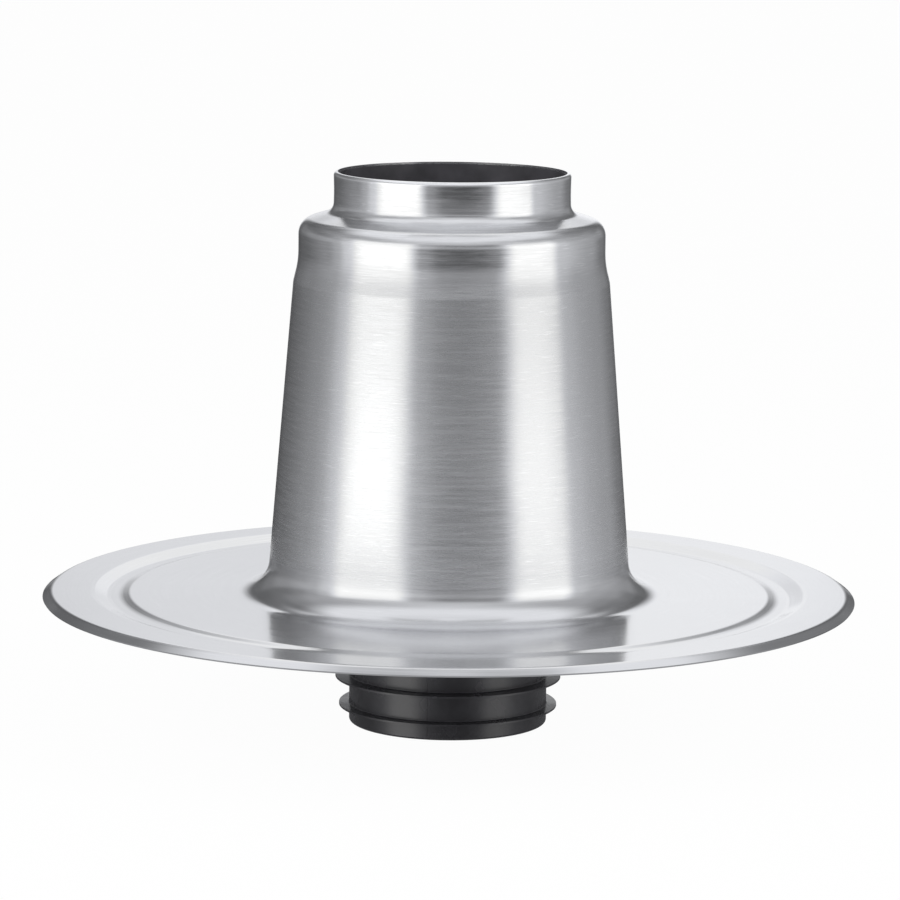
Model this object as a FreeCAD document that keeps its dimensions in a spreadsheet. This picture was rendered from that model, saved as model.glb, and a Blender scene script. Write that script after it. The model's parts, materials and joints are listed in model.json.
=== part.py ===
"""Flat-roof pipe flashing: a spun aluminium shell, a black liner pipe inside it and a lip seal on its spigot.

Millimetres, +Z up the axis, origin on the axis in the roof plane that the flange lies on.
"""
import FreeCAD, Part
import math
import os

import Sketcher

doc = FreeCAD.newDocument("pipe_flashing")
sizes = doc.addObject("Spreadsheet::Sheet", "sizes")

# Driving dimensions: alias, value, what it is.
DRIVING = [
    ("pipe_diameter", 110.0, "outside diameter of the pipe that the socket takes"),
    ("socket_clearance", 0.3, "room round that pipe, on the radius"),
    ("socket_depth", 60.0, "how far the pipe goes in"),
    ("pipe_wall", 1.7, "wall of the liner pipe"),
    ("reducer_length", 30.0, "height of the cone between socket and spigot"),
    ("reducer_round", 10.0, "bends of the liner pipe at both ends of that cone"),
    ("spigot_diameter", 90.0, "clear bore of the spigot"),
    ("spigot_drop", 63.0, "reach of the spigot's foot below the roof plane"),
    ("sheet_thickness", 1.0, "aluminium sheet"),
    ("flange_diameter", 400.0, "outside of the flange"),
    ("crest_rise", 3.6, "crest of the flange's rim above the roof plane"),
    ("crest_round", 8.0, "rounding of that crest into the turned-down edge"),
    ("edge_slope", 35.0, "slope of the flange's turned-down edge in degrees"),
    ("rim_width", 20.5, "flat rim of the flange, from its crest in to the bedding groove"),
    ("ramp_width", 8.0, "outer side of the bedding groove, across"),
    ("ramp_round", 8.0, "roundings at the top and the foot of that side"),
    ("floor_width", 5.7, "floor of the bedding groove, which lies on the roof"),
    ("floor_round", 14.0, "hollow between that floor and the groove's inner side"),
    ("step_width", 4.5, "inner side of the bedding groove, across"),
    ("step_round", 6.0, "rounding of that side into the flange's inner flat"),
    ("flange_rise", 2.2, "top of the flange's inner flat above the roof plane"),
    ("root_radius", 16.5, "sweep from the flange up into the cone"),
    ("cone_taper", 4.63, "lean of the cone's wall in degrees"),
    ("joggle_step", 2.4, "how far the joggle draws the wall in"),
    ("joggle_height", 10.0, "height of the joggle between its corners"),
    ("joggle_round", 14.0, "bends of the joggle"),
    ("band_height", 19.1, "upright band between the joggle and the shoulder"),
    ("shoulder_width", 17.0, "from the collar out to the band"),
    ("shoulder_fall", 5.2, "slope of the shoulder, in height"),
    ("shoulder_round", 8.0, "rounding between shoulder and band"),
    ("collar_height", 19.1, "from the shoulder up to the rim"),
    ("collar_round", 5.5, "hollow at the foot of the collar"),
    ("rim_height", 209.6, "top of the rim above the roof plane"),
    ("rim_lap", 0.2, "straight end of the rolled rim"),
    ("rim_clearance", 0.7, "how far the rim's edge stands clear of the socket's bore"),
    ("liner_gap", 0.1, "room between the liner's top edge and the rolled rim"),
    ("sleeve_thickness", 2.2, "rubber sleeve on the spigot"),
    ("sleeve_length", 46.0, "height of the rubber sleeve"),
    ("sleeve_chamfer", 1.2, "bevel at the sleeve's top edge"),
    ("foot_thickness", 1.6, "rubber that turns in under the spigot's end"),
    ("foot_round", 1.4, "rounding of the sleeve's foot"),
    ("lip_tip", 0.9, "thickness of a sealing lip at its edge"),
    ("lip_base", 1.5, "thickness of a sealing lip where it leaves the sleeve"),
    ("lower_lip_reach", 5.0, "how far the lower lip stands out"),
    ("upper_lip_reach", 6.9, "how far the upper lip stands out"),
    ("lower_lip_height", 8.6, "middle of the lower lip above the foot"),
    ("lip_spacing", 14.2, "from the lower lip up to the upper one"),
]

# Sizes that follow from the driving ones: alias, formula.
DERIVED = [
    ("socket_radius", "=pipe_diameter / 2 + socket_clearance"),
    ("socket_outer", "=socket_radius + pipe_wall"),
    ("collar_radius", "=socket_outer + sheet_thickness"),
    # The rim rolls in over the liner's top edge and stops just clear of the bore.
    ("rim_edge_radius", "=socket_radius + rim_clearance"),
    ("rim_roll", "=collar_radius - rim_edge_radius - rim_lap"),
    ("shoulder_top", "=rim_height - collar_height"),
    ("band_top", "=shoulder_top - shoulder_fall"),
    ("joggle_top", "=band_top - band_height"),
    ("cone_top", "=joggle_top - joggle_height"),
    ("band_radius", "=collar_radius + shoulder_width"),
    ("cone_top_radius", "=band_radius + joggle_step"),
    ("cone_base_radius", "=cone_top_radius + (cone_top - flange_rise) * tan(cone_taper * 1 deg)"),
    # The flange is laid out inwards from its edge, whose lower corner is in the roof plane.
    ("flange_radius", "=flange_diameter / 2"),
    ("edge_height", "=sheet_thickness * cos(edge_slope * 1 deg)"),
    ("crest_radius", "=flange_radius - (crest_rise - edge_height) / tan(edge_slope * 1 deg)"),
    ("ramp_top_radius", "=crest_radius - rim_width"),
    ("floor_outer_radius", "=ramp_top_radius - ramp_width"),
    ("floor_inner_radius", "=floor_outer_radius - floor_width"),
    ("plateau_radius", "=floor_inner_radius - step_width"),
    # The liner pipe, in heights above its spigot's end. Its top edge is bevelled to lie in the rim's roll.
    ("spigot_radius", "=spigot_diameter / 2"),
    ("spigot_outer", "=spigot_radius + pipe_wall"),
    ("spigot_end", "=foot_thickness - spigot_drop"),
    ("liner_top", "=rim_height - sheet_thickness - liner_gap - spigot_end"),
    ("liner_bevel", "=rim_roll - sheet_thickness"),
    ("liner_bevel_radius", "=socket_outer - liner_bevel"),
    ("liner_bevel_height", "=liner_top - liner_bevel"),
    ("socket_floor", "=liner_top - socket_depth"),
    ("reducer_floor", "=socket_floor - reducer_length"),
    # The lip seal, in heights above its foot.
    ("sleeve_radius", "=spigot_outer + sleeve_thickness"),
    ("sleeve_bevel_radius", "=sleeve_radius - sleeve_chamfer"),
    ("sleeve_bevel_height", "=sleeve_length - sleeve_chamfer"),
    ("lower_lip_radius", "=sleeve_radius + lower_lip_reach"),
    ("lower_base_low", "=lower_lip_height - lip_base / 2"),
    ("lower_tip_low", "=lower_lip_height - lip_tip / 2"),
    ("lower_tip_high", "=lower_lip_height + lip_tip / 2"),
    ("lower_base_high", "=lower_lip_height + lip_base / 2"),
    ("upper_lip_radius", "=sleeve_radius + upper_lip_reach"),
    ("upper_base_low", "=lower_base_low + lip_spacing"),
    ("upper_tip_low", "=lower_tip_low + lip_spacing"),
    ("upper_tip_high", "=lower_tip_high + lip_spacing"),
    ("upper_base_high", "=lower_base_high + lip_spacing"),
]


def fill_sheet():
    """Write every size into the sheet: name, value or formula, remark."""
    for row, (alias, value, remark) in enumerate(DRIVING, start=1):
        sizes.set(f"A{row}", alias)
        sizes.set(f"B{row}", str(value))
        sizes.set(f"C{row}", remark)
        sizes.setAlias(f"B{row}", alias)
    for row, (alias, formula) in enumerate(DERIVED, start=len(DRIVING) + 1):
        sizes.set(f"A{row}", alias)
        sizes.set(f"B{row}", formula)
        sizes.setAlias(f"B{row}", alias)
    doc.recompute()


def size(alias):
    """Value of one size, or 0 for None."""
    return float(getattr(sizes.get(alias), "Value", sizes.get(alias))) if alias else 0.0


def rounding(before, corner, after, radius):
    """Arc that rounds a corner, its start and end on the straight runs, and whether it turns left."""
    back = (before - corner).normalize()
    ahead = (after - corner).normalize()
    half = back.getAngle(ahead) / 2
    start = corner + back * (radius / math.tan(half))
    end = corner + ahead * (radius / math.tan(half))
    centre = corner + (back + ahead).normalize() * (radius / math.sin(half))
    turns_left = back.cross(ahead).z < 0
    first, last = (start, end) if turns_left else (end, start)
    circle = Part.Circle(centre, FreeCAD.Vector(0, 0, 1), radius)
    arc = Part.ArcOfCircle(circle, circle.parameter(first), circle.parameter(last))
    return arc, start, end, turns_left


def draw_profile(sketch, corners, closed):
    """Draw straight runs through the corners, each corner rounded by an arc where it has a radius.

    A corner is (radius from the axis, height, rounding), each the alias of a size. A height of None is 0.
    """
    count = len(corners)
    places = [FreeCAD.Vector(size(across), size(up), 0) for across, up, _ in corners]
    points = [sketch.addGeometry(Part.Point(place), True) for place in places]
    for point, (across, up, _) in zip(points, corners):
        bind(sketch, Sketcher.Constraint("DistanceX", -1, 1, point, 1, size(across)), across)
        if up:
            bind(sketch, Sketcher.Constraint("DistanceY", -1, 1, point, 1, size(up)), up)
        else:
            sketch.addConstraint(Sketcher.Constraint("PointOnObject", point, 1, -1))

    # Where each run leaves and reaches its corners, and the arcs between runs.
    leaves = list(places)
    reaches = list(places)
    arcs = {}
    arc_ends = {}
    for i, (_, _, radius) in enumerate(corners):
        if radius:
            before = places[i - 1]
            after = places[(i + 1) % count]
            arc, reaches[i], leaves[i], left_turn = rounding(before, places[i], after, size(radius))
            arcs[i] = sketch.addGeometry(arc, False)
            arc_ends[i] = (1, 2) if left_turn else (2, 1)
            bind(sketch, Sketcher.Constraint("Radius", arcs[i], size(radius)), radius)

    runs = {}
    for i in range(count if closed else count - 1):
        following = (i + 1) % count
        runs[i] = sketch.addGeometry(Part.LineSegment(leaves[i], reaches[following]), False)
        for corner, run_end in ((i, 1), (following, 2)):
            if corner in arcs:
                sketch.addConstraint(Sketcher.Constraint("PointOnObject", points[corner], 1, runs[i]))
            else:
                sketch.addConstraint(Sketcher.Constraint("Coincident", points[corner], 1, runs[i], run_end))

    for i, arc in arcs.items():
        arriving = runs[(i - 1) % count]
        leaving = runs[i]
        first, last = arc_ends[i]
        sketch.addConstraint(Sketcher.Constraint("Tangent", arriving, 2, arc, first))
        sketch.addConstraint(Sketcher.Constraint("Tangent", arc, last, leaving, 1))


def bind(sketch, constraint, alias):
    """Add a dimension and tie it to a size."""
    index = sketch.addConstraint(constraint)
    sketch.setExpression(f"Constraints[{index}]", f"sizes.{alias}")


def spun_sheet(label, corners):
    """Sheet of even thickness spun about the axis, from the line of its outer side."""
    line = doc.addObject("Sketcher::SketchObject", f"{label}_line")
    line.Placement = FreeCAD.Placement(FreeCAD.Vector(), FreeCAD.Rotation(FreeCAD.Vector(1, 0, 0), 90))
    draw_profile(line, corners, closed=False)
    section = doc.addObject("Part::Offset2D", f"{label}_section")
    section.Source = line
    section.Mode = "Skin"
    section.Join = "Arc"
    section.Fill = True
    section.setExpression("Value", "sizes.sheet_thickness")
    shell = doc.addObject("Part::Revolution", label)
    shell.Source = section
    shell.Axis = FreeCAD.Vector(0, 0, 1)
    shell.Angle = 360
    shell.Solid = True
    shell.Label = label
    return shell


def turned_body(label, corners, base_height):
    """Body turned about the axis from a closed section, standing at a height."""
    body = doc.addObject("PartDesign::Body", label)
    body.Label = label
    section = body.newObject("Sketcher::SketchObject", f"{label}_section")
    plane = next(f for f in body.Origin.OriginFeatures if f.Role == "XZ_Plane")
    section.AttachmentSupport = (plane, [""])
    section.MapMode = "FlatFace"
    draw_profile(section, corners, closed=True)
    turning = body.newObject("PartDesign::Revolution", f"{label}_turning")
    turning.Profile = section
    turning.ReferenceAxis = (section, ["V_Axis"])
    turning.Angle = 360
    body.setExpression("Placement.Base.z", base_height)
    return body


def flashing_shell():
    """Spun shell: flange with edge and bedding groove, cone, joggle, band, shoulder, collar and rolled rim."""
    return spun_sheet("flashing_shell", [
        ("flange_radius", "edge_height", None),
        ("crest_radius", "crest_rise", "crest_round"),
        ("ramp_top_radius", "crest_rise", "ramp_round"),
        ("floor_outer_radius", "sheet_thickness", "ramp_round"),
        ("floor_inner_radius", "sheet_thickness", "floor_round"),
        ("plateau_radius", "flange_rise", "step_round"),
        ("cone_base_radius", "flange_rise", "root_radius"),
        ("cone_top_radius", "cone_top", "joggle_round"),
        ("band_radius", "joggle_top", "joggle_round"),
        ("band_radius", "band_top", "shoulder_round"),
        ("collar_radius", "shoulder_top", "collar_round"),
        ("collar_radius", "rim_height", "rim_roll"),
        ("rim_edge_radius", "rim_height", None),
    ])


def inner_pipe():
    """Liner pipe: a socket held in the collar, a reducing cone and the spigot down through the roof."""
    return turned_body("inner_pipe", [
        ("spigot_outer", None, None),
        ("spigot_outer", "reducer_floor", "reducer_round"),
        ("socket_outer", "socket_floor", "reducer_round"),
        ("socket_outer", "liner_bevel_height", None),
        ("liner_bevel_radius", "liner_top", None),
        ("socket_radius", "liner_top", None),
        ("socket_radius", "socket_floor", "reducer_round"),
        ("spigot_radius", "reducer_floor", "reducer_round"),
        ("spigot_radius", None, None),
    ], "sizes.spigot_end")


def lip_seal():
    """Rubber sleeve on the spigot's end, turned in under it, with two sealing lips."""
    return turned_body("lip_seal", [
        ("spigot_radius", None, None),
        ("sleeve_radius", None, "foot_round"),
        ("sleeve_radius", "lower_base_low", None),
        ("lower_lip_radius", "lower_tip_low", None),
        ("lower_lip_radius", "lower_tip_high", None),
        ("sleeve_radius", "lower_base_high", None),
        ("sleeve_radius", "upper_base_low", None),
        ("upper_lip_radius", "upper_tip_low", None),
        ("upper_lip_radius", "upper_tip_high", None),
        ("sleeve_radius", "upper_base_high", None),
        ("sleeve_radius", "sleeve_bevel_height", None),
        ("sleeve_bevel_radius", "sleeve_length", None),
        ("spigot_outer", "sleeve_length", None),
        ("spigot_outer", "foot_thickness", None),
        ("spigot_radius", "foot_thickness", None),
    ], "-sizes.spigot_drop")


def write_parts(sub_parts):
    """Check every object and write each sub-part to its own file."""
    for item in doc.Objects:
        if "Invalid" in item.State or "Error" in item.State:
            raise RuntimeError(f"{item.Name} failed: {item.State}")
    for item in sub_parts:
        if item.Shape.isNull() or not item.Shape.isValid() or len(item.Shape.Solids) != 1:
            raise RuntimeError(f"{item.Label} is not one valid solid")
    os.makedirs("parts", exist_ok=True)
    for item in sub_parts:
        item.Shape.exportStep(f"parts/{item.Label}.step")
        print(f"{item.Label}: {item.Shape.Volume / 1000:.1f} cm3")


fill_sheet()
sub_parts = [flashing_shell(), inner_pipe(), lip_seal()]
doc.recompute()
write_parts(sub_parts)
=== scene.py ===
"""Looks of the pipe flashing: spun aluminium shell, black liner pipe and rubber lip seal on a white floor.

Metres, +Z up the axis, origin on the axis in the roof plane that the flange lies on.
"""
import json
import math

import bpy
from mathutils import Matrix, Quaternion, Vector


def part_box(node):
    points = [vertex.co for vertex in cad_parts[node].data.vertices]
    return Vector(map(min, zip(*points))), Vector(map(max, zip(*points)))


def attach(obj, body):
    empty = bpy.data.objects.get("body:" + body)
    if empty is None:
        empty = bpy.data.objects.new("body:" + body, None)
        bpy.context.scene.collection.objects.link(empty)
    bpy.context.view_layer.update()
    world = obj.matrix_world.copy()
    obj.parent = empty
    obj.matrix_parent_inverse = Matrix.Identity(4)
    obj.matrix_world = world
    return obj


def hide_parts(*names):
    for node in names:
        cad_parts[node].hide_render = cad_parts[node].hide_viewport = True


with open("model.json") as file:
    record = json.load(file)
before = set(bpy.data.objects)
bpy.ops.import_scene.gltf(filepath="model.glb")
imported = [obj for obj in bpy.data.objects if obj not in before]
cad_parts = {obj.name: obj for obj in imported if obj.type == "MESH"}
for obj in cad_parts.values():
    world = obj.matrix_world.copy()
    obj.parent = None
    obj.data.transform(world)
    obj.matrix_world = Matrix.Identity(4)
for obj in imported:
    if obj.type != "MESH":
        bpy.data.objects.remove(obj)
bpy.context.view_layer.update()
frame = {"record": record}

MM = 0.001
WHITE = (1, 1, 1, 1)

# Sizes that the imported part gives.
mounts = {mount["name"]: mount for mount in frame["record"]["mounts"]}
_, shell_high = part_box("flashing_shell")
liner_low, liner_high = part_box("inner_pipe")
seal_low, seal_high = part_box("lip_seal")
flange_radius = shell_high.x
rim_height = shell_high.z
collar_radius = mounts["collar"]["dims"]["r_mm"] * MM
socket_radius = mounts["pipe_socket"]["dims"]["r_mm"] * MM
lower_lip_radius = mounts["lower_lip"]["dims"]["r_mm"] * MM
upper_lip_radius = mounts["upper_lip"]["dims"]["r_mm"] * MM
lower_lip_height = mounts["lower_lip"]["pos_m"][2]
upper_lip_height = mounts["upper_lip"]["pos_m"][2]

# The spun sheet, from the flange's edge in and up to the rim.
SHEET = 1.0 * MM
CREST_RISE = 3.6 * MM
CREST_ROUND = 4 * MM
EDGE_SLOPE = math.radians(35)
RIM_WIDTH = 20.5 * MM
RAMP_WIDTH = 8 * MM
RAMP_ROUND = 8 * MM
FLOOR_WIDTH = 5.7 * MM
FLOOR_ROUND = 14 * MM
STEP_WIDTH = 4.5 * MM
STEP_ROUND = 6 * MM
FLANGE_RISE = 2.2 * MM
ROOT_RADIUS = 16.5 * MM
CONE_TAPER = math.radians(4.63)
JOGGLE_STEP = 2.4 * MM
JOGGLE_HEIGHT = 10 * MM
JOGGLE_FOOT_ROUND = 10 * MM
JOGGLE_TOP_ROUND = 45 * MM
BAND_HEIGHT = 19.1 * MM
SHOULDER_WIDTH = 17 * MM
SHOULDER_FALL = 5.2 * MM
SHOULDER_ROUND = 8 * MM
COLLAR_HEIGHT = 19.1 * MM
COLLAR_ROUND = 5.5 * MM
COLLAR_WAIST = 0.25 * MM
COLLAR_WAIST_ROUND = 150 * MM
RIM_LAP = 0.2 * MM
RIM_CLEARANCE = 0.7 * MM

# The liner pipe and the seal.
PIPE_WALL = 1.7 * MM
SPIGOT_RADIUS = 45 * MM
SOCKET_DEPTH = 60 * MM
REDUCER_LENGTH = 30 * MM
REDUCER_ROUND = 10 * MM
SLEEVE_THICKNESS = 2.2 * MM
SLEEVE_CHAMFER = 1.2 * MM
FOOT_ROUND = 1.4 * MM
LIP_TIP = 0.9 * MM
LIP_BASE = 1.5 * MM
LIP_ROOT_ROUND = 0.5 * MM
PARTING_TURNS = (-11.8, 168.2)
PARTING_FOOT = 0.6 * MM
PARTING_CREST = 0.3 * MM
PARTING_RISE = 0.2 * MM

# How finely the pieces are turned. A point beside a rounding takes one part of the straight run at most.
FACETS_ROUND = 192
ARC_STEPS = 18
RUN_PARTS = 3
SHARP_ANGLE = math.radians(35)
MERGE_DISTANCE = 1e-7

# The metal: its tone and its lines, in cells a radian and rows a metre.
METAL_TONE = (0.735, 0.845)
METAL_TINT = (0.985, 0.99, 1.005)
GRAIN_RANGE = (0.3, 0.7)
GRAIN_DETAIL = 2.0
GRAIN_SHARPNESS = 0.6
RING_SHARE = 0.25
RING_ROWS = 1300.0
LINE_CELLS = 3.5
LINE_ROWS = 750.0
SCRATCH_CELLS = 8.0
SCRATCH_ROWS = 2000.0
SCRATCH_RANGE = (0.60, 0.72)
SCRATCH_GLEAM = 0.13
FLANGE_LINING = 0.35

# Heights at which the metal changes: plainer flange, painted shade darkening the cone top, smoother collar,
# painted highlight on the rim.
CONE_START = (12 * MM, 24 * MM)
CONE_END = (158 * MM, 170 * MM)
# Painted shade: the metal's colour is darkened from the cone's middle up to the joggle.
PAINTED_SHADE_RISE = (60 * MM, 155 * MM)
PAINTED_SHADE_FALL = (164 * MM, 176 * MM)
PAINTED_SHADE_LOSS = 0.12
# Painted highlight: the metal's colour is lightened at the top of the rim.
PAINTED_RIM_HIGHLIGHT_START = (rim_height - 2.4 * MM, rim_height - 1.2 * MM)
PAINTED_RIM_HIGHLIGHT = 0.15

# How the metal throws light back: roughness by zone, waves in the sheet, depth of the lines.
FLANGE_ROUGHNESS = 0.13
CONE_ROUGHNESS = 0.27
COLLAR_ROUGHNESS = 0.16
ROUGHNESS_SPREAD = 0.25
SWELL_SCALE = 22.0
SWELL_DETAIL = 1.0
SWELL_DEPTH = 0.4 * MM
LINE_DEPTH = 0.04 * MM
LINE_STRENGTH = 0.5
ANISOTROPY = 0.9
QUARTER_TURN = 0.25

# The two blacks.
BLACK_TINT = (1.0, 0.97, 1.1)
BLACK_IOR = 1.55
CLOUD_SCALE = 60.0
CLOUD_DETAIL = 4.0
CLOUD_ROUGHNESS = 0.04
SPECK_SCALE = 900.0
SPECK_DETAIL = 2.0
SPECK_DEPTH = 0.03 * MM
SPECK_STRENGTH = 0.4

# The studio as the metal shows it. A ring is a list of (degrees round from the camera's side, brightness).
DEEP_RING = [(-180, 0.36), (180, 0.36)]
FLOOR_RING = [
    (-180, 0.12), (-105, 0.20), (-80, 0.45), (-64, 2.40), (-44, 2.40), (-26, 0.40), (8, 0.15),
    (34, 0.30), (50, 1.40), (66, 1.40), (82, 0.40), (105, 0.20), (180, 0.12),
]
GROUND_RING = [
    (-180, 0.06), (-140, 0.13), (-105, 0.28), (-93, 0.48), (-83, 0.82), (-70, 1.25), (-35, 1.25),
    (-22, 0.24), (-8, 0.02), (20, 0.02), (34, 0.16), (50, 1.22), (78, 1.22), (88, 0.72),
    (125, 0.42), (150, 0.19), (180, 0.06),
]
WALL_RING = [
    (-180, 0.06), (-171, 0.07), (-162, 0.15), (-150, 0.22), (-129, 0.32), (-95, 0.50), (-84, 0.74),
    (-70, 1.27), (-36, 1.27), (-20, 0.68), (-6, 0.50), (8, 0.46), (30, 0.51), (50, 1.32), (78, 1.32),
    (89, 0.68), (108, 0.48), (148, 0.32), (162, 0.17), (171, 0.07), (180, 0.06),
]
BROW_RING = [
    (-180, 0.08), (-171, 0.08), (-160, 0.14), (-125, 0.20), (-111, 0.27), (-99, 0.38), (-88, 0.55),
    (-72, 1.20), (-36, 1.20), (-22, 0.42), (0, 0.17), (30, 0.26), (50, 1.10), (76, 1.10), (91, 0.56),
    (102, 0.46), (129, 0.36), (150, 0.21), (160, 0.15), (171, 0.08), (180, 0.08),
]
SKY_RING = [
    (-180, 0.10), (-170, 0.10), (-160, 0.17), (-140, 0.20), (-126, 0.28), (-100, 0.42), (0, 0.68),
    (100, 0.44), (126, 0.30), (140, 0.23), (160, 0.19), (170, 0.10), (180, 0.10),
]
OVERHEAD_RING = [(-180, 0.94), (180, 0.94)]
HALO_RING = [(-180, 0.55), (-130, 0.55), (-90, 0.86), (90, 0.86), (130, 0.55), (180, 0.55)]

# The rings by degrees above the horizon. Between two of them the light passes from one to the other.
RING_HEIGHTS = [
    (-90, DEEP_RING), (-45, DEEP_RING),
    (-25, FLOOR_RING), (-12, FLOOR_RING),
    (-10, GROUND_RING), (-7, GROUND_RING),
    (5, WALL_RING), (12, WALL_RING),
    (17, BROW_RING), (22, BROW_RING),
    (31, SKY_RING), (40, SKY_RING),
    (56, OVERHEAD_RING), (69, OVERHEAD_RING),
    (74, HALO_RING), (83, HALO_RING),
    (88, OVERHEAD_RING), (90, OVERHEAD_RING),
]

# The white card behind the object: its brightness, and the degrees over which it begins and ends.
CARD_LEFT = 0.82
CARD_RIGHT = 0.97
CARD_CROWN = 1.02
CARD_FOOT = (-6, -3)
CARD_TOP = (69, 75)
CARD_SIDE = (5.5, 15)
CARD_CROWN_FOOT = (13, 25)
CARD_CROWN_SIDE = (10, 16)
CARD_FAN_FOOT = (30, 47)
CARD_FAN_SIDE = (20, 36)

# The dome that carries rings and card, with warmer strips and a cooler room.
DOME_RADIUS = 8.0
DOME_STEP = 2
DOME_COLUMNS = 360
STRIP_TINT = (1.0, 1.0, 0.985, 1.0)
ROOM_TINT = (0.975, 0.985, 1.015, 1.0)
STRIP_LEVELS = (0.95, 1.05)

# Floor, world, lamps and camera.
FLOOR_HALF = 15.0
FLOOR_COLOUR = (0.95, 0.95, 0.95, 1)
FLOOR_WHITENESS = 0.97
WORLD_LEVEL = 0.5
LAMP_TURNS = {"lamp_left": -52, "lamp_right": 62}
LAMP_DISTANCE = 1.6
LAMP_HEIGHT = 0.9
LAMP_SIZE = 0.8
LAMP_POWER = 14
LAMP_TARGET = Vector((0, 0, 0.1))
CAMERA_EYE = Vector((0, -2.1102, 0.4005))
CAMERA_TARGET = Vector((0, 0, 0.07244))
CAMERA_ROLL = math.radians(0.549)
CAMERA_SENSOR = 36
CAMERA_LENS = 173.6


def add_node(tree, kind, inputs=None, **settings):
    """Add a node with its settings. Each input is a plain value or the socket that feeds it."""
    made = tree.nodes.new(kind)
    for name, value in settings.items():
        setattr(made, name, value)
    for name, value in (inputs or {}).items():
        if isinstance(value, bpy.types.NodeSocket):
            tree.links.new(value, made.inputs[name])
        else:
            made.inputs[name].default_value = value
    return made


def add_object(name, data):
    """Add an object to the scene."""
    made = bpy.data.objects.new(name, data)
    bpy.context.scene.collection.objects.link(made)
    return made


def add_mesh(name, verts, faces, material):
    """Add an object with a mesh of its own."""
    mesh = bpy.data.meshes.new(name)
    mesh.from_pydata(verts, [], faces)
    mesh.materials.append(material)
    return add_object(name, mesh)


def around_object(azimuth, radius, height):
    """Place at an azimuth in degrees from the camera's side, positive to its right."""
    turn = math.radians(azimuth)
    return Vector((radius * math.sin(turn), -radius * math.cos(turn), height))


def shell_line():
    """Corners of the sheet's outer side, from the flange's edge up to the rim: (radius, height), rounding."""
    edge_height = SHEET * math.cos(EDGE_SLOPE)
    crest = flange_radius - (CREST_RISE - edge_height) / math.tan(EDGE_SLOPE)
    ramp_top = crest - RIM_WIDTH
    floor_outer = ramp_top - RAMP_WIDTH
    floor_inner = floor_outer - FLOOR_WIDTH
    plateau = floor_inner - STEP_WIDTH
    shoulder_top = rim_height - COLLAR_HEIGHT
    band_top = shoulder_top - SHOULDER_FALL
    joggle_top = band_top - BAND_HEIGHT
    cone_top = joggle_top - JOGGLE_HEIGHT
    band = collar_radius + SHOULDER_WIDTH
    cone_top_radius = band + JOGGLE_STEP
    cone_base_radius = cone_top_radius + (cone_top - FLANGE_RISE) * math.tan(CONE_TAPER)
    rim_edge = socket_radius + RIM_CLEARANCE
    rim_roll = collar_radius - rim_edge - RIM_LAP
    return [
        (Vector((flange_radius, edge_height)), 0),
        (Vector((crest, CREST_RISE)), CREST_ROUND),
        (Vector((ramp_top, CREST_RISE)), RAMP_ROUND),
        (Vector((floor_outer, SHEET)), RAMP_ROUND),
        (Vector((floor_inner, SHEET)), FLOOR_ROUND),
        (Vector((plateau, FLANGE_RISE)), STEP_ROUND),
        (Vector((cone_base_radius, FLANGE_RISE)), ROOT_RADIUS),
        (Vector((cone_top_radius, cone_top)), JOGGLE_FOOT_ROUND),
        (Vector((band, joggle_top)), JOGGLE_TOP_ROUND),
        (Vector((band, band_top)), SHOULDER_ROUND),
        (Vector((collar_radius, shoulder_top)), COLLAR_ROUND),
        (Vector((collar_radius - COLLAR_WAIST, rim_height - COLLAR_HEIGHT / 2)), COLLAR_WAIST_ROUND),
        (Vector((collar_radius, rim_height)), rim_roll),
        (Vector((rim_edge, rim_height)), 0),
    ]


def left_normal(run):
    """Unit vector to the left of a run."""
    return Vector((-run.y, run.x)).normalized()


def sheet_outline(line, thickness):
    """Closed outline of a sheet whose one side is the line and whose other side lies to the left of it."""
    places = [place for place, _ in line]
    runs = [after - before for before, after in zip(places, places[1:])]
    other_side = [(places[0] + left_normal(runs[0]) * thickness, 0)]
    for (place, rounding), before, after in zip(line[1:-1], runs, runs[1:]):
        first = left_normal(before)
        second = left_normal(after)
        corner = place + (first + second) * (thickness / (1 + first.dot(second)))
        turns_left = before.cross(after) > 0
        other_side.append((corner, rounding - thickness if turns_left else rounding + thickness))
    other_side.append((places[-1] + left_normal(runs[-1]) * thickness, 0))
    return line + other_side[::-1]


def liner_outline():
    """Closed outline of the liner pipe: spigot, reducing cone and socket."""
    spigot_outer = SPIGOT_RADIUS + PIPE_WALL
    socket_outer = socket_radius + PIPE_WALL
    socket_floor = liner_high.z - SOCKET_DEPTH
    reducer_floor = socket_floor - REDUCER_LENGTH
    bevel = collar_radius - socket_radius - RIM_CLEARANCE - RIM_LAP - SHEET
    return [
        (Vector((spigot_outer, liner_low.z)), 0),
        (Vector((spigot_outer, reducer_floor)), REDUCER_ROUND),
        (Vector((socket_outer, socket_floor)), REDUCER_ROUND),
        (Vector((socket_outer, liner_high.z - bevel)), 0),
        (Vector((socket_outer - bevel, liner_high.z)), 0),
        (Vector((socket_radius, liner_high.z)), 0),
        (Vector((socket_radius, socket_floor)), REDUCER_ROUND),
        (Vector((SPIGOT_RADIUS, reducer_floor)), REDUCER_ROUND),
        (Vector((SPIGOT_RADIUS, liner_low.z)), 0),
    ]


def lip_corners(root_radius, lip_radius, height):
    """Corners of one sealing lip, from below: root, edge, edge, root."""
    return [
        (Vector((root_radius, height - LIP_BASE / 2)), LIP_ROOT_ROUND),
        (Vector((lip_radius, height - LIP_TIP / 2)), 0),
        (Vector((lip_radius, height + LIP_TIP / 2)), 0),
        (Vector((root_radius, height + LIP_BASE / 2)), LIP_ROOT_ROUND),
    ]


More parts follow.
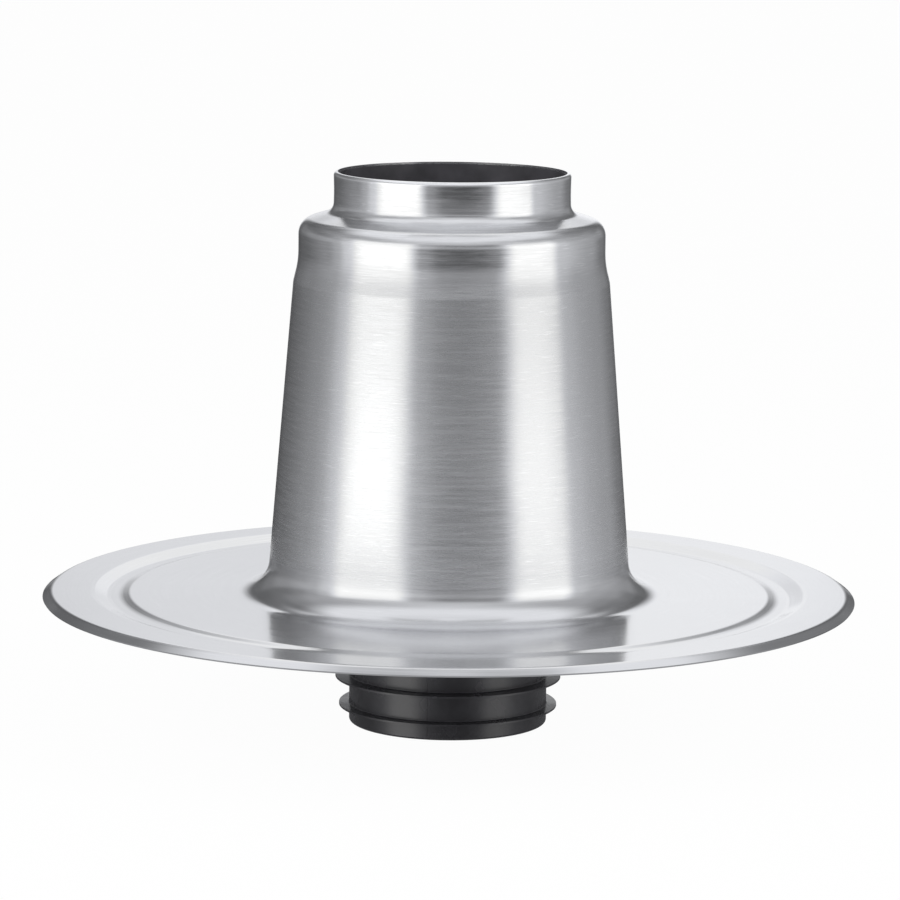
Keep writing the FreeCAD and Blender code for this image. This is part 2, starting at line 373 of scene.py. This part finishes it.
def seal_outline():
    """Closed outline of the rubber sleeve with its two lips and its turned-in foot."""
    spigot_outer = SPIGOT_RADIUS + PIPE_WALL
    sleeve = spigot_outer + SLEEVE_THICKNESS
    return [
        (Vector((SPIGOT_RADIUS, seal_low.z)), 0),
        (Vector((sleeve, seal_low.z)), FOOT_ROUND),
        *lip_corners(sleeve, lower_lip_radius, lower_lip_height),
        *lip_corners(sleeve, upper_lip_radius, upper_lip_height),
        (Vector((sleeve, seal_high.z - SLEEVE_CHAMFER)), 0),
        (Vector((sleeve - SLEEVE_CHAMFER, seal_high.z)), 0),
        (Vector((spigot_outer, seal_high.z)), 0),
        (Vector((spigot_outer, liner_low.z)), 0),
        (Vector((SPIGOT_RADIUS, liner_low.z)), 0),
    ]


def supported(outline):
    """Add a point one arc step past each end of every rounding, so that the run shades straight up to it."""
    count = len(outline)
    places = [place for place, _ in outline]
    runs = [places[(i + 1) % count] - place for i, place in enumerate(places)]
    half_turns = [runs[i - 1].angle(runs[i]) / 2 for i in range(count)]
    reaches = [rounding * math.tan(half_turn) for (_, rounding), half_turn in zip(outline, half_turns)]
    spares = [run.length - reaches[i] - reaches[(i + 1) % count] for i, run in enumerate(runs)]
    points = []
    for i, (place, rounding) in enumerate(outline):
        if rounding == 0:
            points.append((place, 0))
            continue
        arc_step = 2 * rounding * half_turns[i] / ARC_STEPS
        before = reaches[i] + min(arc_step, spares[i - 1] / RUN_PARTS)
        after = reaches[i] + min(arc_step, spares[i] / RUN_PARTS)
        points.append((place - runs[i - 1].normalized() * before, 0))
        points.append((place, rounding))
        points.append((place + runs[i].normalized() * after, 0))
    return points


def turning_tree():
    """Node tree that rounds the corners of a section and turns it about the axis."""
    tree = bpy.data.node_groups.new("turning", "GeometryNodeTree")
    sockets = tree.interface
    sockets.new_socket("Section", in_out="INPUT", socket_type="NodeSocketGeometry")
    sockets.new_socket("Arc Steps", in_out="INPUT", socket_type="NodeSocketInt")
    sockets.new_socket("Facets Round", in_out="INPUT", socket_type="NodeSocketInt")
    sockets.new_socket("Rail Radius", in_out="INPUT", socket_type="NodeSocketFloat")
    sockets.new_socket("Sharp Angle", in_out="INPUT", socket_type="NodeSocketFloat")
    sockets.new_socket("Finish", in_out="INPUT", socket_type="NodeSocketMaterial")
    sockets.new_socket("Turned", in_out="OUTPUT", socket_type="NodeSocketGeometry")
    given = add_node(tree, "NodeGroupInput").outputs
    rounding = add_node(tree, "GeometryNodeInputRadius").outputs["Radius"]
    rounded = add_node(tree, "GeometryNodeFilletCurve", {
        "Curve": given["Section"], "Radius": rounding, "Count": given["Arc Steps"], "Limit Radius": False,
    }, mode="POLY")
    inward = maths(tree, "MULTIPLY", given["Rail Radius"], -1.0)
    offset = add_node(tree, "ShaderNodeCombineXYZ", {"X": inward})
    profile = add_node(tree, "GeometryNodeTransform", {
        "Geometry": rounded.outputs["Curve"], "Translation": offset.outputs[0], "Scale": (1, -1, 1),
    })
    rail = add_node(tree, "GeometryNodeCurvePrimitiveCircle", {
        "Resolution": given["Facets Round"], "Radius": given["Rail Radius"],
    }, mode="RADIUS")
    turned = add_node(tree, "GeometryNodeCurveToMesh", {
        "Curve": rail.outputs["Curve"], "Profile Curve": profile.outputs["Geometry"],
    })
    merged = add_node(tree, "GeometryNodeMergeByDistance", {
        "Geometry": turned.outputs["Mesh"], "Distance": MERGE_DISTANCE,
    })
    smooth = add_node(tree, "GeometryNodeSetShadeSmooth", {
        "Geometry": merged.outputs["Geometry"], "Shade Smooth": True,
    }, domain="FACE")
    bend = add_node(tree, "GeometryNodeInputMeshEdgeAngle").outputs["Unsigned Angle"]
    sharp = add_node(tree, "FunctionNodeCompare", {
        "A": bend, "B": given["Sharp Angle"],
    }, data_type="FLOAT", operation="GREATER_THAN")
    edged = add_node(tree, "GeometryNodeSetShadeSmooth", {
        "Geometry": smooth.outputs["Geometry"], "Selection": sharp.outputs["Result"], "Shade Smooth": False,
    }, domain="EDGE")
    realized = add_node(tree, "GeometryNodeRealizeInstances", {"Geometry": edged.outputs["Geometry"]})
    finished = add_node(tree, "GeometryNodeSetMaterial", {
        "Geometry": realized.outputs["Geometry"], "Material": given["Finish"],
    })
    add_node(tree, "NodeGroupOutput", {"Turned": finished.outputs["Geometry"]})
    return tree


def set_inputs(modifier, values):
    """Set a node modifier's inputs by the names that its tree gives them."""
    for item in modifier.node_group.interface.items_tree:
        if item.name in values:
            modifier[item.identifier] = values[item.name]


def turned_piece(name, outline, tree, finish):
    """Piece turned about the axis from a closed outline, as a plain mesh."""
    section = bpy.data.curves.new(f"{name}_section", "CURVE")
    section.dimensions = "3D"
    spline = section.splines.new("POLY")
    points = supported(outline)
    spline.points.add(len(points) - 1)
    for point, (place, rounding) in zip(spline.points, points):
        point.co = (place.x, place.y, 0, 1)
        point.radius = rounding
    spline.use_cyclic_u = True
    source = add_object(f"{name}_source", section)
    modifier = source.modifiers.new("turning", "NODES")
    modifier.node_group = tree
    set_inputs(modifier, {
        "Arc Steps": ARC_STEPS,
        "Facets Round": FACETS_ROUND,
        "Rail Radius": SPIGOT_RADIUS,
        "Sharp Angle": SHARP_ANGLE,
        "Finish": finish,
    })
    evaluated = source.evaluated_get(bpy.context.evaluated_depsgraph_get())
    mesh = bpy.data.meshes.new_from_object(evaluated)
    bpy.data.objects.remove(source)
    mesh.name = name
    return add_object(name, mesh)


def parting_ridges(name, finish):
    """Fine upright ridges that the two halves of the mould leave on the seal, between its lips."""
    sleeve = SPIGOT_RADIUS + PIPE_WALL + SLEEVE_THICKNESS
    spans = [
        (seal_low.z + FOOT_ROUND, lower_lip_height - LIP_BASE / 2),
        (lower_lip_height + LIP_BASE / 2, upper_lip_height - LIP_BASE / 2),
        (upper_lip_height + LIP_BASE / 2, seal_high.z - SLEEVE_CHAMFER),
    ]
    section = [
        (-PARTING_FOOT / 2, -PARTING_RISE), (PARTING_FOOT / 2, -PARTING_RISE),
        (PARTING_CREST / 2, PARTING_RISE), (-PARTING_CREST / 2, PARTING_RISE),
    ]
    sides = [(0, 1, 5, 4), (1, 2, 6, 5), (2, 3, 7, 6), (3, 0, 4, 7), (3, 2, 1, 0), (4, 5, 6, 7)]
    verts = []
    faces = []
    for azimuth in PARTING_TURNS:
        outward = around_object(azimuth, 1, 0)
        sideways = Vector((-outward.y, outward.x, 0))
        for low, high in spans:
            faces += [tuple(len(verts) + i for i in side) for side in sides]
            for height in (low, high):
                for across, rise in section:
                    verts.append(outward * (sleeve + rise) + sideways * across + Vector((0, 0, height)))
    return add_mesh(name, verts, faces, finish)


def dress(piece, node):
    """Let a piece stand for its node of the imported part."""
    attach(piece, "root")
    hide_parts(node)


def new_material(name):
    """Empty material, its tree and its output."""
    material = bpy.data.materials.new(name)
    material.use_nodes = True
    material.node_tree.nodes.clear()
    output = add_node(material.node_tree, "ShaderNodeOutputMaterial")
    return material, material.node_tree, output


def maths(tree, operation, first, second):
    """One sum of two values."""
    return add_node(tree, "ShaderNodeMath", {0: first, 1: second}, operation=operation).outputs[0]


def blend(tree, share, first, second):
    """First value at a share of 0, second at 1."""
    made = add_node(tree, "ShaderNodeMix", {"Factor": share, "A": first, "B": second}, data_type="FLOAT")
    return made.outputs[0]


def remap(tree, value, from_range, to_range, **settings):
    """Value carried from one range to another."""
    made = add_node(tree, "ShaderNodeMapRange", {
        "Value": value,
        "From Min": from_range[0], "From Max": from_range[1],
        "To Min": to_range[0], "To Max": to_range[1],
    }, **settings)
    return made.outputs[0]


def eased(tree, value, from_range, to_range):
    """Value carried from one range to another, with soft ends."""
    return remap(tree, value, from_range, to_range, interpolation_type="SMOOTHSTEP")


def tinted(tree, tone, tint):
    """Colour of one tone, by the share of it in red, green and blue."""
    red, green, blue = [maths(tree, "MULTIPLY", tone, share) for share in tint]
    return add_node(tree, "ShaderNodeCombineColor", {"Red": red, "Green": green, "Blue": blue}).outputs[0]


def noise(tree, place, scale, detail):
    """Noise in space."""
    made = add_node(tree, "ShaderNodeTexNoise", {"Vector": place, "Scale": scale, "Detail": detail})
    return made.outputs[0]


def rings(tree, along, rows):
    """Noise along one measure, with so many rows a metre."""
    made = add_node(tree, "ShaderNodeTexNoise", {
        "W": along, "Scale": rows, "Detail": GRAIN_DETAIL, "Roughness": GRAIN_SHARPNESS,
    }, noise_dimensions="1D")
    return made.outputs[0]


def streaks(tree, around, along, cells, rows):
    """Noise drawn out round the axis, with so many cells a radian and so many rows a metre."""
    turned = add_node(tree, "ShaderNodeVectorMath", {0: around, 1: (cells, cells, 0.0)}, operation="MULTIPLY")
    lift = add_node(tree, "ShaderNodeCombineXYZ", {"Z": maths(tree, "MULTIPLY", along, rows)})
    spread = add_node(tree, "ShaderNodeVectorMath", {
        0: turned.outputs[0], 1: lift.outputs[0],
    }, operation="ADD")
    made = add_node(tree, "ShaderNodeTexNoise", {
        "Vector": spread.outputs[0], "Scale": 1.0, "Detail": GRAIN_DETAIL, "Roughness": GRAIN_SHARPNESS,
    }, noise_dimensions="3D")
    return made.outputs[0]


def metal_tone(tree, height, above_flange, grain, scratches):
    """Tone of the metal: lined cone, plainer flange, painted shade near the joggle and a painted highlight at
    the rim.
    """
    bright = remap(tree, scratches, SCRATCH_RANGE, (0.0, SCRATCH_GLEAM))
    lined = maths(tree, "ADD", remap(tree, grain, GRAIN_RANGE, METAL_TONE), bright)
    contrast = remap(tree, above_flange, (0.0, 1.0), (FLANGE_LINING, 1.0))
    tone = blend(tree, contrast, sum(METAL_TONE) / 2, lined)
    # Painted shade: darker colour from the cone's middle up to the joggle.
    painted_shade_above = eased(tree, height, PAINTED_SHADE_RISE, (0.0, PAINTED_SHADE_LOSS))
    painted_shade_below = eased(tree, height, PAINTED_SHADE_FALL, (1.0, 0.0))
    painted_shade_lost = maths(tree, "MULTIPLY", tone, maths(tree, "MULTIPLY", painted_shade_above, painted_shade_below))
    kept = maths(tree, "SUBTRACT", tone, painted_shade_lost)
    # Painted highlight: lighter colour at the top of the rim.
    return maths(tree, "ADD", kept, remap(tree, height, PAINTED_RIM_HIGHLIGHT_START, (0.0, PAINTED_RIM_HIGHLIGHT)))


def metal_roughness(tree, height, above_flange, grain):
    """Roughness of the metal, by zone and uneven with the grain."""
    below_collar = blend(tree, above_flange, FLANGE_ROUGHNESS, CONE_ROUGHNESS)
    at_collar = eased(tree, height, CONE_END, (0.0, 1.0))
    zoned = blend(tree, at_collar, below_collar, COLLAR_ROUGHNESS)
    uneven = remap(tree, grain, GRAIN_RANGE, (1 - ROUGHNESS_SPREAD, 1 + ROUGHNESS_SPREAD))
    return maths(tree, "MULTIPLY", zoned, uneven)


def metal_normal(tree, place, grain):
    """Normal of the metal: slow waves in the sheet with the fine lines on them."""
    swell = noise(tree, place, SWELL_SCALE, SWELL_DETAIL)
    wavy = add_node(tree, "ShaderNodeBump", {"Height": swell, "Distance": SWELL_DEPTH, "Strength": 1.0})
    lined = add_node(tree, "ShaderNodeBump", {
        "Height": grain, "Distance": LINE_DEPTH, "Strength": LINE_STRENGTH, "Normal": wavy.outputs[0],
    })
    return lined.outputs[0]


def spun_aluminium():
    """Aluminium with fine lines round the axis: sharp reflections along the lines, drawn out across them."""
    material, tree, output = new_material("spun_aluminium")
    place = add_node(tree, "ShaderNodeTexCoord").outputs["Object"]
    split = add_node(tree, "ShaderNodeSeparateXYZ", {0: place}).outputs
    height = split["Z"]
    flat = add_node(tree, "ShaderNodeCombineXYZ", {"X": split["X"], "Y": split["Y"]}).outputs[0]
    around = add_node(tree, "ShaderNodeVectorMath", {0: flat}, operation="NORMALIZE").outputs[0]
    radius = add_node(tree, "ShaderNodeVectorMath", {0: flat}, operation="LENGTH").outputs["Value"]
    along = maths(tree, "SUBTRACT", height, radius)
    short_lines = streaks(tree, around, along, LINE_CELLS, LINE_ROWS)
    grain = blend(tree, 1 - RING_SHARE, rings(tree, along, RING_ROWS), short_lines)
    scratches = streaks(tree, around, along, SCRATCH_CELLS, SCRATCH_ROWS)
    above_flange = eased(tree, height, CONE_START, (0.0, 1.0))
    tone = metal_tone(tree, height, above_flange, grain, scratches)
    tangent = add_node(tree, "ShaderNodeTangent", direction_type="RADIAL", axis="Z")
    shader = add_node(tree, "ShaderNodeBsdfPrincipled", {
        "Base Color": tinted(tree, tone, METAL_TINT),
        "Metallic": 1.0,
        "Roughness": metal_roughness(tree, height, above_flange, grain),
        "Normal": metal_normal(tree, place, grain),
        "Tangent": tangent.outputs[0],
        "Anisotropic": ANISOTROPY,
        "Anisotropic Rotation": QUARTER_TURN,
    })
    tree.links.new(shader.outputs[0], output.inputs["Surface"])
    return material


def black_moulding(name, tone, roughness, cloudiness):
    """Black moulded plastic or rubber, its tone uneven by a share."""
    material, tree, output = new_material(name)
    place = add_node(tree, "ShaderNodeTexCoord").outputs["Object"]
    cloud = noise(tree, place, CLOUD_SCALE, CLOUD_DETAIL)
    speck = noise(tree, place, SPECK_SCALE, SPECK_DETAIL)
    shade = remap(tree, cloud, GRAIN_RANGE, (tone * (1 - cloudiness), tone * (1 + cloudiness)))
    rough = remap(tree, cloud, GRAIN_RANGE, (roughness - CLOUD_ROUGHNESS, roughness + CLOUD_ROUGHNESS))
    bump = add_node(tree, "ShaderNodeBump", {
        "Height": speck, "Distance": SPECK_DEPTH, "Strength": SPECK_STRENGTH,
    })
    shader = add_node(tree, "ShaderNodeBsdfPrincipled", {
        "Base Color": tinted(tree, shade, BLACK_TINT),
        "Roughness": rough,
        "Normal": bump.outputs[0],
        "IOR": BLACK_IOR,
    })
    tree.links.new(shader.outputs[0], output.inputs["Surface"])
    return material


def seen_directly(tree):
    """Socket that is 1 for camera, glossy and transmission rays."""
    path = add_node(tree, "ShaderNodeLightPath").outputs
    seen_or_mirrored = maths(tree, "MAXIMUM", path["Is Camera Ray"], path["Is Glossy Ray"])
    return maths(tree, "MAXIMUM", seen_or_mirrored, path["Is Transmission Ray"])


def white_floor():
    """Wide floor, white to the eye with a trace of shadow. In reflections the dome stands for it."""
    material, tree, output = new_material("floor_white")
    lit = add_node(tree, "ShaderNodeBsdfDiffuse", {"Color": FLOOR_COLOUR})
    glow = add_node(tree, "ShaderNodeEmission", {"Color": WHITE, "Strength": 1.0})
    whiteness = maths(tree, "MULTIPLY", seen_directly(tree), FLOOR_WHITENESS)
    mixed = add_node(tree, "ShaderNodeMixShader", {0: whiteness, 1: lit.outputs[0], 2: glow.outputs[0]})
    tree.links.new(mixed.outputs[0], output.inputs["Surface"])
    corners = [(-1, -1), (1, -1), (1, 1), (-1, 1)]
    verts = [(x * FLOOR_HALF, y * FLOOR_HALF, seal_low.z) for x, y in corners]
    floor = add_mesh("floor", verts, [(0, 1, 2, 3)], material)
    floor.visible_glossy = False


def white_world():
    """World that lights the object softly and is white where it is seen."""
    world = bpy.data.worlds.new("studio")
    world.use_nodes = True
    bpy.context.scene.world = world
    tree = world.node_tree
    tree.nodes.clear()
    output = add_node(tree, "ShaderNodeOutputWorld")
    lit = add_node(tree, "ShaderNodeBackground", {"Color": WHITE, "Strength": WORLD_LEVEL})
    seen = add_node(tree, "ShaderNodeBackground", {"Color": WHITE, "Strength": 1.0})
    mixed = add_node(tree, "ShaderNodeMixShader", {
        0: seen_directly(tree), 1: lit.outputs[0], 2: seen.outputs[0],
    })
    tree.links.new(mixed.outputs[0], output.inputs["Surface"])


def ease(low, high, value):
    """Smooth step from 0 at the low value to 1 at the high one."""
    share = min(max((value - low) / (high - low), 0), 1)
    return share * share * (3 - 2 * share)


def mix(first, second, share):
    """First value at a share of 0, second at 1."""
    return first + (second - first) * share


def level_at(azimuth, stops):
    """Brightness at an azimuth, eased between (azimuth, brightness) stops."""
    for (before, first), (after, second) in zip(stops, stops[1:]):
        if azimuth <= after:
            return mix(first, second, ease(before, after, azimuth))
    return stops[-1][1]


def ring_level(azimuth, elevation):
    """Brightness of the rings in one direction."""
    for (before, lower), (after, upper) in zip(RING_HEIGHTS, RING_HEIGHTS[1:]):
        if elevation <= after:
            return mix(level_at(azimuth, lower), level_at(azimuth, upper), ease(before, after, elevation))
    return level_at(azimuth, OVERHEAD_RING)


def studio_brightness(azimuth, elevation):
    """Brightness of the studio in one direction, in degrees: the rings and the card behind the object."""
    crown = ease(*CARD_CROWN_FOOT, elevation)
    card = mix(CARD_LEFT if azimuth < 0 else CARD_RIGHT, CARD_CROWN, crown)
    aside = 180 - abs(azimuth)
    off_crown = mix(ease(*CARD_SIDE, aside), ease(*CARD_CROWN_SIDE, aside), crown)
    off_card = mix(off_crown, ease(*CARD_FAN_SIDE, aside), ease(*CARD_FAN_FOOT, elevation))
    upright = ease(*CARD_FOOT, elevation) * (1 - ease(*CARD_TOP, elevation))
    return mix(card, ring_level(azimuth, elevation), mix(1, off_card, upright))


def dome_material():
    """Light that is as bright as the dome's points say, a little warmer in the strips than in the room."""
    material, tree, output = new_material("studio_dome")
    level = add_node(tree, "ShaderNodeAttribute", attribute_name="brightness").outputs["Fac"]
    strip = remap(tree, level, STRIP_LEVELS, (0.0, 1.0))
    # By number, because this node has an A and a B for each kind of value.
    tint = add_node(tree, "ShaderNodeMix", {6: ROOM_TINT, 7: STRIP_TINT, "Factor": strip}, data_type="RGBA")
    glow = add_node(tree, "ShaderNodeEmission", {"Color": tint.outputs[2], "Strength": level})
    tree.links.new(glow.outputs[0], output.inputs["Surface"])
    material.cycles.emission_sampling = "NONE"
    return material


def studio_dome():
    """Far dome round the object, seen only in reflections."""
    verts = []
    levels = []
    for elevation in range(-90, 91, DOME_STEP):
        rise = math.radians(elevation)
        for azimuth in range(-180, 180, 360 // DOME_COLUMNS):
            verts.append(around_object(azimuth, DOME_RADIUS * math.cos(rise), DOME_RADIUS * math.sin(rise)))
            levels.append(studio_brightness(azimuth, elevation))
    faces = []
    for row in range(0, len(verts) - DOME_COLUMNS, DOME_COLUMNS):
        upper_row = row + DOME_COLUMNS
        for i in range(DOME_COLUMNS):
            following = (i + 1) % DOME_COLUMNS
            faces.append((row + i, row + following, upper_row + following, upper_row + i))
    dome = add_mesh("studio_dome", verts, faces, dome_material())
    dome.data.attributes.new("brightness", "FLOAT", "POINT").data.foreach_set("value", levels)
    dome.visible_camera = False
    dome.visible_diffuse = False
    dome.visible_shadow = False


def softbox(name, azimuth):
    """Soft lamp that faces the cone."""
    lamp = bpy.data.lights.new(name, "AREA")
    lamp.shape = "SQUARE"
    lamp.size = LAMP_SIZE
    lamp.energy = LAMP_POWER
    made = add_object(name, lamp)
    made.location = around_object(azimuth, LAMP_DISTANCE, LAMP_HEIGHT)
    made.rotation_euler = (LAMP_TARGET - made.location).to_track_quat("-Z", "Y").to_euler()
    made.visible_glossy = False


def camera():
    """Camera at the photograph's viewing angle."""
    data = bpy.data.cameras.new("camera")
    data.sensor_width = CAMERA_SENSOR
    data.lens = CAMERA_LENS
    made = add_object("camera", data)
    made.location = CAMERA_EYE
    made.rotation_mode = "QUATERNION"
    aim = (CAMERA_TARGET - CAMERA_EYE).to_track_quat("-Z", "Y")
    made.rotation_quaternion = aim @ Quaternion((0, 0, 1), CAMERA_ROLL)
    bpy.context.scene.camera = made


turning = turning_tree()
rubber = black_moulding("seal_rubber", tone=0.054, roughness=0.25, cloudiness=0.2)
metal = spun_aluminium()
plastic = black_moulding("liner_plastic", tone=0.052, roughness=0.48, cloudiness=0.4)
shell = turned_piece("spun_shell", sheet_outline(shell_line(), SHEET), turning, metal)
liner = turned_piece("liner_pipe", liner_outline(), turning, plastic)
seal = turned_piece("rubber_seal", seal_outline(), turning, rubber)
ridges = parting_ridges("parting_ridges", rubber)
dress(shell, "flashing_shell")
dress(liner, "inner_pipe")
dress(seal, "lip_seal")
dress(ridges, "lip_seal")

white_floor()
white_world()
studio_dome()
for lamp_name, lamp_turn in LAMP_TURNS.items():
    softbox(lamp_name, lamp_turn)
camera()
bpy.context.scene.view_settings.view_transform = "Standard"
